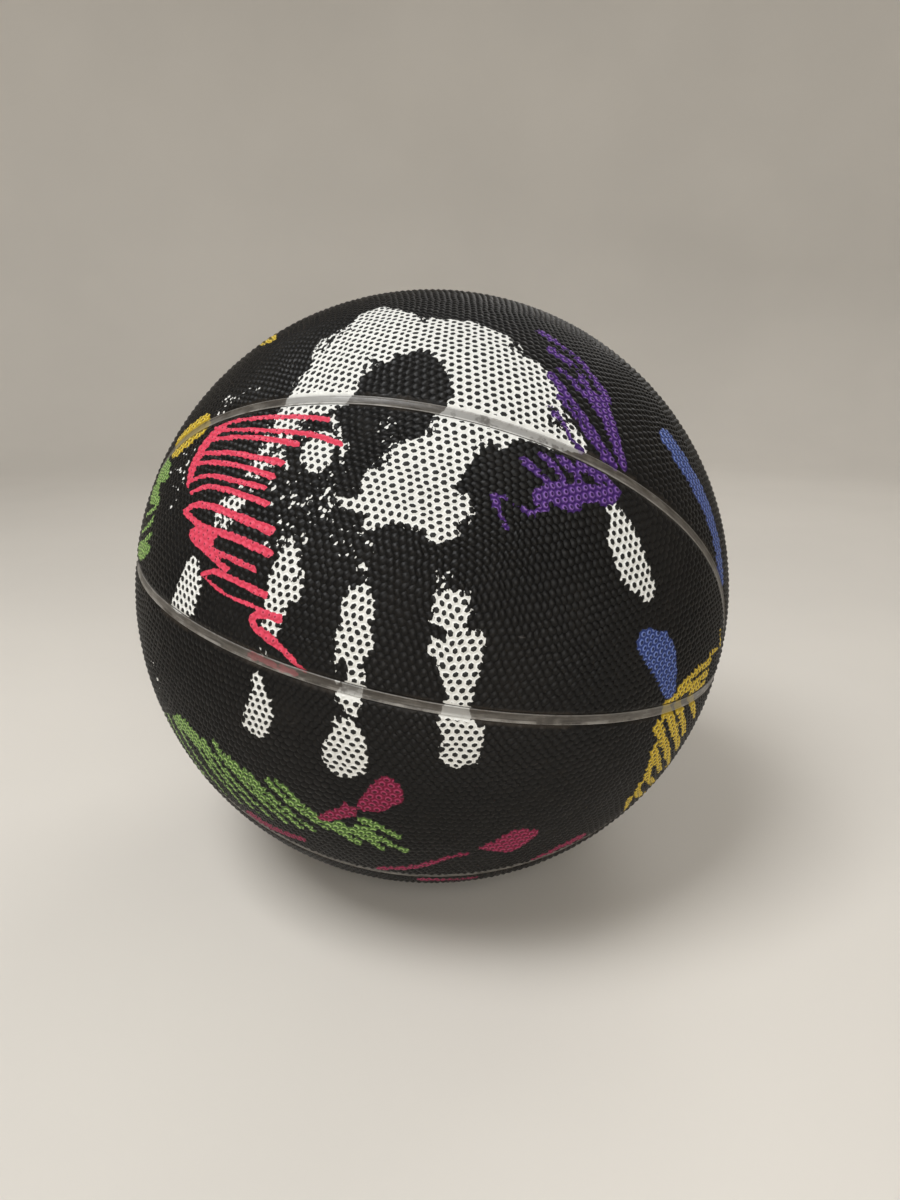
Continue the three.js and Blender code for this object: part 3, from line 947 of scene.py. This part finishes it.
class Surface:
    """A node material and short calls for the nodes that it is built from; sizes are in mm."""

    def __init__(self, name):
        self.material = bpy.data.materials.new(name)
        self.material.use_nodes = True
        self.tree = self.material.node_tree
        self.shader = self.tree.nodes["Principled BSDF"]
        self.place = self.tree.nodes.new("ShaderNodeTexCoord").outputs["Object"]

    def node(self, kind, values, **settings):
        made = self.tree.nodes.new("ShaderNode" + kind)
        for key, value in settings.items():
            setattr(made, key, value)
        for key, value in values.items():
            self.put(value, made.inputs[key])
        return made

    def put(self, value, socket):
        if isinstance(value, bpy.types.NodeSocket):
            self.tree.links.new(value, socket)
        elif isinstance(value, tuple) and len(value) == 3 and socket.type == "RGBA":
            socket.default_value = (*value, 1)
        else:
            socket.default_value = value

    def set(self, **values):
        for key, value in values.items():
            self.put(value, self.shader.inputs[key.replace("_", " ")])

    def attribute(self, name):
        return self.node("Attribute", {}, attribute_name=name).outputs["Fac"]

    def maths(self, operation, *values):
        return self.node("Math", dict(enumerate(values)), operation=operation).outputs[0]

    def add(self, *values):
        return reduce(lambda a, b: self.maths("ADD", a, b), values)

    def times(self, *values):
        return reduce(lambda a, b: self.maths("MULTIPLY", a, b), values)

    def highest(self, *values):
        return reduce(lambda a, b: self.maths("MAXIMUM", a, b), values)

    def invert(self, value):
        return self.maths("SUBTRACT", 1.0, value)

    def ramp(self, value, low, high, to_low=0.0, to_high=1.0):
        values = {"Value": value, "From Min": low, "From Max": high, "To Min": to_low, "To Max": to_high}
        return self.node("MapRange", values, interpolation_type="SMOOTHSTEP").outputs["Result"]

    def mix(self, share, a, b):
        return self.node("Mix", {0: share, 6: a, 7: b}, data_type="RGBA").outputs[2]

    def stain(self, colour, shade, *shares):
        """The colour with a shade laid over it, as strongly as the shares multiplied."""
        return self.mix(self.times(*shares), colour, shade)

    def noise(self, size, detail=2.0, roughness=0.5, distortion=0.0, stretch=None):
        place = self.place
        if stretch:
            place = self.node("Mapping", {"Vector": place, "Scale": stretch}).outputs[0]
        values = {"Vector": place, "Scale": 1000.0 / size, "Detail": detail, "Roughness": roughness,
                  "Distortion": distortion}
        return self.node("TexNoise", values).outputs["Fac"]

    def patches(self, size, low, high, to_low=0.0, to_high=1.0, **look):
        """Noise, with the part between two of its levels spread over the given range."""
        return self.ramp(self.noise(size, **look), low, high, to_low, to_high)

    def flecks(self, spacing, tilt_deg, stretch, share):
        """Scattered long flecks, of which only the given share is there."""
        turn = (0.0, math.radians(tilt_deg), 0.0)
        values = {"Vector": self.place, "Rotation": turn, "Scale": (1.0, 1.0, stretch)}
        place = self.node("Mapping", values, vector_type="TEXTURE").outputs[0]
        cells = self.node("TexVoronoi", {"Vector": place, "Scale": 1000.0 / spacing})
        chance = self.node("SeparateColor", {0: cells.outputs["Color"]})
        reach = self.ramp(chance.outputs["Green"], 0.0, 1.0, 0.14, 0.30)
        inside = self.ramp(self.maths("SUBTRACT", cells.outputs["Distance"], reach), -0.02, 0.02, 1.0, 0.0)
        return self.times(inside, self.maths("LESS_THAN", chance.outputs["Red"], share))

    def bump(self, height, depth, under=None):
        values = {"Height": height, "Distance": depth * MM, "Strength": 1.0}
        if under:
            values["Normal"] = under
        return self.node("Bump", values).outputs["Normal"]


# Each paint from the lowest layer up: its colour, its colour round a pebble's top as a painted highlight on
# the flanks, what shows on the very top, how high up a pebble that begins, how much of the top it leaves
# bare, how much painted shade darkens it in the valleys, how ragged its outline is in mm, and how much a
# nearly dry brush or hand breaks it up
PAINTS = (
    ("white", (0.69, 0.69, 0.66), (0.72, 0.72, 0.69), (0.004, 0.004, 0.004), 0.52, 0.98, 0.04, 0.9, 1.0),
    ("green", (0.12, 0.23, 0.05), (0.32, 0.47, 0.16), (0.016, 0.030, 0.010), 0.66, 0.85, 0.65, 0.6, 0.4),
    ("maroon", (0.21, 0.012, 0.045), (0.34, 0.045, 0.11), (0.045, 0.006, 0.012), 0.66, 0.85, 0.45, 0.6, 0.0),
    ("yellow", (0.50, 0.34, 0.02), (0.66, 0.50, 0.09), (0.030, 0.024, 0.010), 0.66, 0.90, 0.45, 0.6, 0.0),
    ("blue", (0.035, 0.060, 0.22), (0.16, 0.22, 0.48), (0.008, 0.013, 0.045), 0.66, 0.85, 0.50, 0.5, 0.0),
    ("purple", (0.055, 0.017, 0.14), (0.18, 0.09, 0.31), (0.018, 0.007, 0.036), 0.73, 0.90, 0.60, 0.6, 0.45),
    ("pink", (0.62, 0.055, 0.100), (0.66, 0.080, 0.135), (0.06, 0.010, 0.016), 0.84, 0.80, 0.12, 0.22, 0.0),
)


def paint_cover(s, name, ragged, spread):
    """Where a paint lies: torn at its outline, and broken up where it was nearly dry."""
    field = s.maths("MINIMUM", s.attribute(name), 1.8)
    fine = s.patches(1.3, 0.28, 0.72, -0.6 * ragged, 0.6 * ragged, detail=3.0, roughness=0.6)
    coarse = s.patches(4.2, 0.28, 0.72, -0.9 * ragged, 0.9 * ragged)
    return s.ramp(s.add(field, fine, coarse, spread), -0.08, 0.08)


def printed(s, colour, pebble, valley, patchy, grain):
    """The colour with all the paints over it, and how thick they lie; they miss the pebbles' tops, and carry
    a painted highlight round them and painted shade in the valleys.
    """
    dry = s.highest(s.attribute("dry"), 0.0)
    spatter = s.highest(s.attribute("spatter"), 0.0)
    uneven = s.patches(3.0, 0.3, 0.7, -0.035, 0.035)
    height = s.add(pebble, uneven, s.ramp(grain, 0.3, 0.7, -0.02, 0.02))
    dry_look = {"detail": 3.0, "roughness": 0.65, "stretch": (1.0, 1.0, 0.5)}
    dry_loss = s.times(dry, s.patches(2.6, 0.42, 0.60, 0.3, -6.0, **dry_look))
    nicks = s.patches(1.8, 0.70, 0.77, 0.0, -2.5, detail=3.0, roughness=0.7)
    film = 0.0
    for name, paint, lit_flank_colour, on_top, top, bareness, valley_shade, ragged, dryness in PAINTS:
        spread = s.add(nicks, s.ramp(pebble, 0.05, 0.6, 0.4 * ragged, -0.4 * ragged))
        if dryness:
            spread = s.add(spread, s.times(dry_loss, dryness))
        cover = paint_cover(s, name, ragged, spread)
        if name == "white":
            small = s.flecks(1.5, 40.0, 1.9, s.ramp(spatter, 0.0, 0.7, 0.0, 0.95))
            large = s.flecks(2.4, 32.0, 1.8, s.ramp(spatter, 0.1, 0.9, 0.0, 0.80))
            cover = s.highest(cover, small, large)
        bare_top = s.ramp(height, top - 0.03, top + 0.03)
        # Painted highlight: the paint lighter on the pebbles' flanks, in a ring round each bare top
        flank_highlight = s.times(s.ramp(height, top - 0.36, top - 0.14), s.invert(bare_top))
        shade = s.mix(flank_highlight, paint, lit_flank_colour)
        # Painted shade: the paint darker down in the valleys
        shade = s.stain(shade, tuple(0.25 * c for c in paint), valley, valley_shade)
        shade = s.stain(shade, tuple(0.6 * c for c in paint), s.ramp(patchy, 0.35, 0.7, 0.0, 0.12))
        shade = s.stain(shade, on_top, bare_top, bareness)
        colour = s.mix(cover, colour, shade)
        film = s.highest(s.times(cover, s.invert(bare_top)), film)
    return colour, film


def cover_rubber():
    """Near-black pebbled rubber, with painted shade and dust in its valleys, rubbed on its tops, and worn
    printed paint.
    """
    s = Surface("pebbled_cover_rubber")
    pebble = s.attribute("pebble")
    broad = s.noise(70, detail=3.0)
    patchy = s.noise(16, detail=4.0, roughness=0.6)
    grain = s.noise(0.55, detail=3.0, roughness=0.65)
    valley = s.invert(s.ramp(pebble, 0.02, 0.45))

    colour = s.mix(s.ramp(broad, 0.3, 0.7), (0.0036, 0.0034, 0.0033), (0.0066, 0.0060, 0.0055))
    # Painted shade: the rubber darker down in the valleys between the pebbles
    colour = s.stain(colour, (0.0010, 0.0009, 0.0008), valley, 0.55)
    dust = s.ramp(patchy, 0.50, 0.80)
    colour = s.stain(colour, (0.026, 0.021, 0.016), valley, dust, 0.35)
    rubbed = s.times(s.ramp(pebble, 0.45, 0.95), s.patches(24, 0.45, 0.75, detail=3.0), 0.45)
    colour = s.stain(colour, (0.022, 0.021, 0.020), rubbed)
    rim_dirt = s.times(s.invert(s.ramp(s.attribute("rim"), 0.1, 1.6)), s.ramp(patchy, 0.35, 0.65))
    colour = s.stain(colour, (0.055, 0.044, 0.034), rim_dirt, 0.5)
    scratch_look = {"detail": 5.0, "roughness": 0.7, "distortion": 1.5, "stretch": (1.0, 1.0, 3.5)}
    scratches = s.times(s.patches(9, 0.685, 0.72, **scratch_look), s.ramp(broad, 0.45, 0.6))
    colour = s.stain(colour, (0.10, 0.09, 0.08), scratches, 0.5)
    colour, film = printed(s, colour, pebble, valley, patchy, grain)

    roughness = s.add(
        s.ramp(patchy, 0.25, 0.75, 0.34, 0.47), s.times(valley, 0.10), s.times(rubbed, -0.12),
        s.ramp(grain, 0.2, 0.8, -0.05, 0.05),
    )
    s.set(Base_Color=colour, Roughness=roughness, Normal=s.bump(film, 0.03, s.bump(grain, 0.035)))
    s.set(Specular_IOR_Level=0.16)
    return s.material


# Each paint that crosses a seam strip: its colour there, and how strongly it shows
STRIP_PAINTS = (
    ("white", (0.50, 0.50, 0.48), 0.46), ("yellow", (0.34, 0.26, 0.06), 0.50),
    ("purple", (0.12, 0.07, 0.18), 0.40), ("pink", (0.36, 0.06, 0.08), 0.35),
    ("green", (0.12, 0.20, 0.07), 0.45), ("maroon", (0.14, 0.03, 0.03), 0.50),
)


def strip_rubber():
    """Smooth grey seam rubber, half clear, dirty along its edges and tinted where paint crosses it; its
    beads carry a painted highlight and its sides painted shade.
    """
    s = Surface("smooth_seam_rubber")
    across = s.attribute("across")
    outward = s.maths("ABSOLUTE", across)
    along = s.attribute("along")
    low = s.attribute("low")

    colour = s.mix(s.patches(55, 0.3, 0.7), (0.042, 0.036, 0.029), (0.086, 0.077, 0.065))
    cloud = s.patches(6, 0.35, 0.7, detail=5.0, roughness=0.65)
    colour = s.stain(colour, (0.172, 0.160, 0.140), cloud, 0.5)
    bands = {"W": s.times(along, 0.9), "Scale": 1.0, "Detail": 2.0}
    band_noise = s.node("TexNoise", bands, noise_dimensions="1D").outputs["Fac"]
    colour = s.stain(colour, (0.07, 0.065, 0.06), s.ramp(band_noise, 0.62, 0.70), 0.35)
    lane = s.node("CombineXYZ", {0: s.times(along, 0.10), 1: s.times(across, 1.9)}).outputs[0]
    lanes = {"Vector": lane, "Scale": 1.0, "Detail": 5.0, "Roughness": 0.62}
    lane_noise = s.node("TexNoise", lanes).outputs["Fac"]
    colour = s.stain(colour, (0.026, 0.022, 0.018), s.ramp(lane_noise, 0.49, 0.62), 0.80)
    colour = s.stain(colour, (0.27, 0.262, 0.245), s.ramp(lane_noise, 0.42, 0.32), 0.5)

    # The upper side is in shadow and the lower side catches the light, in broken stretches
    shadow = s.patches(7, 0.35, 0.60, detail=5.0, roughness=0.7)
    colour = s.stain(colour, (0.030, 0.023, 0.017), s.ramp(low, -0.45, 0.30, 1.0, 0.0), shadow, 0.75)
    gleam = s.patches(9, 0.62, 0.40, detail=4.0, roughness=0.65)
    colour = s.stain(colour, (0.30, 0.285, 0.26), s.ramp(low, 0.30, 0.62), gleam, 0.6)
    # Painted highlight: lighter along the raised beads at both edges
    colour = s.stain(colour, (0.34, 0.33, 0.31), s.ramp(outward, 0.70, 0.88), 0.35)

    for name, paint, strength in STRIP_PAINTS:
        soft = s.patches(3.0, 0.3, 0.7, -0.5, 0.5, detail=3.0)
        cover = s.ramp(s.add(s.attribute(name), soft), -0.15, 0.20)
        at_edge = min(1.0, strength + 0.4)
        colour = s.stain(colour, paint, cover, s.ramp(outward, 0.66, 0.84, strength, at_edge))

    grime = s.times(
        s.ramp(outward, 0.35, 1.0, 0.25, 1.0), s.patches(4.0, 0.50, 0.72, detail=5.0, roughness=0.7)
    )
    colour = s.stain(colour, (0.070, 0.048, 0.030), grime, 0.75)
    streaks = s.patches(10, 0.57, 0.66, detail=4.0, roughness=0.7)
    colour = s.stain(colour, (0.036, 0.029, 0.023), streaks, 0.65)
    # Painted shade: the strip's sides, down in the narrow gap beside the panels, made dark
    colour = s.stain(colour, (0.03, 0.027, 0.024), s.ramp(outward, 0.985, 1.0))
    roughness = s.add(s.patches(14, 0.3, 0.7, 0.30, 0.46, detail=4.0, roughness=0.6), s.times(grime, 0.22))
    s.set(Base_Color=colour, Roughness=roughness, Normal=s.bump(s.noise(1.4, detail=3.0), 0.03))
    return s.material


def valve_rubber():
    s = Surface("moulded_valve_rubber")
    patchy = s.noise(2.5, detail=4.0, roughness=0.6)
    colour = s.mix(s.ramp(patchy, 0.35, 0.7), (0.020, 0.019, 0.019), (0.045, 0.042, 0.040))
    colour = s.stain(colour, (0.09, 0.075, 0.06), s.patches(1.2, 0.55, 0.7, detail=3.0), 0.5)
    roughness = s.ramp(patchy, 0.3, 0.7, 0.40, 0.58)
    s.set(Base_Color=colour, Roughness=roughness, Normal=s.bump(s.noise(0.4), 0.03))
    return s.material


def bladder_rubber():
    """Dull butyl rubber with chalky powder on it."""
    s = Surface("bladder_butyl_rubber")
    patchy = s.noise(18, detail=4.0)
    colour = s.mix(s.ramp(patchy, 0.3, 0.7), (0.022, 0.019, 0.019), (0.040, 0.034, 0.033))
    colour = s.stain(colour, (0.16, 0.15, 0.14), s.patches(5, 0.5, 0.7, detail=5.0), 0.4)
    roughness = s.ramp(patchy, 0.3, 0.7, 0.42, 0.6)
    s.set(Base_Color=colour, Roughness=roughness, Normal=s.bump(s.noise(1.0), 0.05))
    return s.material


def wound_thread():
    """Crossed windings of thread under a film of latex."""
    s = Surface("wound_nylon_thread")
    threads = []
    for turn in ((0.0, 0.0, 0.4), (0.9, 0.3, 0.0), (0.2, 1.1, 0.7)):
        place = s.node("Mapping", {"Vector": s.place, "Rotation": turn}).outputs[0]
        wave = s.node("TexWave", {"Vector": place, "Scale": 260.0, "Distortion": 1.2, "Detail": 2.0})
        threads.append(wave.outputs["Fac"])
    height = s.highest(*threads)
    # Painted shade: the thread darker down between the windings
    colour = s.mix(s.ramp(height, 0.3, 0.9), (0.16, 0.13, 0.09), (0.50, 0.44, 0.33))
    colour = s.stain(colour, (0.30, 0.24, 0.15), s.patches(12, 0.4, 0.7, detail=4.0), 0.4)
    roughness = s.ramp(height, 0.0, 1.0, 0.85, 0.60)
    s.set(Base_Color=colour, Roughness=roughness, Normal=s.bump(height, 0.25))
    return s.material


def floor_finish():
    s = Surface("pale_floor")
    colour = s.mix(s.patches(300, 0.3, 0.7, detail=3.0), (0.68, 0.645, 0.590), (0.71, 0.673, 0.615))
    s.set(Base_Color=colour, Roughness=s.patches(90, 0.3, 0.7, 0.62, 0.72, detail=4.0))
    return s.material


# ---------------------------------------------------------------- floor, light and camera

FLOOR_REACH = 1.2
SWEEP_RADIUS = 0.7
WALL_TOP = 2.2
SWEEP_STEPS = 12
TURN_STEPS = 72
CAMERA_PLACE = (0.0068, -0.3648, 0.2206)
CAMERA_PITCH_DEG = 73.0
SENSOR_LENGTH = 36.0
FOCAL_LENGTH = 27.03
CLIP_START = 0.01
WORLD_COLOUR = (1.0, 0.985, 0.96, 1)
WORLD_STRENGTH = 0.18


def make_floor():
    """A round pale floor that sweeps up into a wall."""
    bend = np.linspace(0, math.pi / 2, SWEEP_STEPS)
    sweep = FLOOR_REACH + SWEEP_RADIUS * np.sin(bend)
    reach = [FLOOR_REACH / 2, *sweep, sweep[-1]]
    rise = [0, *(SWEEP_RADIUS * (1 - np.cos(bend))), WALL_TOP]
    turns = np.arange(TURN_STEPS) * 2 * math.pi / TURN_STEPS
    points = [(0, 0, 0)]
    for r, z in zip(reach, rise):
        points += [(r * math.cos(turn), r * math.sin(turn), z) for turn in turns]
    faces = []
    for k in range(TURN_STEPS):
        following = (k + 1) % TURN_STEPS
        faces.append((0, 1 + k, 1 + following))
        for row in range(len(reach) - 1):
            inner = 1 + row * TURN_STEPS
            outer = inner + TURN_STEPS
            faces.append((inner + k, outer + k, outer + following, inner + following))
    mesh = bpy.data.meshes.new("floor")
    mesh.from_pydata(points, [], faces)
    mesh.shade_smooth()
    floor = bpy.data.objects.new("floor", mesh)
    bpy.context.scene.collection.objects.link(floor)
    mesh.materials.append(floor_finish())


def soft_light(name, place, size, power, colour, spread_deg=180.0):
    """A square lamp that faces the ball."""
    data = bpy.data.lights.new(name, "AREA")
    data.shape = "SQUARE"
    data.size = size
    data.energy = power
    data.color = colour
    data.spread = math.radians(spread_deg)
    lamp = bpy.data.objects.new(name, data)
    lamp.location = place
    aim = Vector((0, 0, CENTRE_HEIGHT * MM)) - lamp.location
    lamp.rotation_euler = aim.to_track_quat("-Z", "Y").to_euler()
    bpy.context.scene.collection.objects.link(lamp)


def light_studio():
    world = bpy.data.worlds.new("studio")
    world.use_nodes = True
    background = world.node_tree.nodes["Background"]
    background.inputs["Color"].default_value = WORLD_COLOUR
    background.inputs["Strength"].default_value = WORLD_STRENGTH
    bpy.context.scene.world = world
    soft_light("key_light", (-0.50, -0.50, 1.30), 0.60, 14.5, (0.98, 0.99, 1.0))
    soft_light("back_light", (0.60, 0.90, 1.10), 0.80, 4.0, (1.0, 0.98, 0.96))
    soft_light("front_light", (0.20, -1.50, 0.75), 1.00, 5.6, (1.0, 0.98, 0.95), spread_deg=120.0)
    bpy.context.scene.view_settings.view_transform = "Standard"


def place_camera():
    data = bpy.data.cameras.new("camera")
    data.sensor_fit = "VERTICAL"
    data.sensor_height = SENSOR_LENGTH
    data.lens = FOCAL_LENGTH
    data.clip_start = CLIP_START
    camera = bpy.data.objects.new("camera", data)
    camera.location = CAMERA_PLACE
    camera.rotation_euler = (math.radians(CAMERA_PITCH_DEG), 0, 0)
    bpy.context.scene.collection.objects.link(camera)
    bpy.context.scene.camera = camera


# ---------------------------------------------------------------- putting it together

place_camera()
light_studio()
make_floor()
make_panels(cover_rubber())
make_strips(strip_rubber())
make_valve(valve_rubber())
for node_name, finish in (("bladder", bladder_rubber()), ("wound_carcass", wound_thread())):
    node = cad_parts[node_name]
    node.data.materials.clear()
    node.data.materials.append(finish)
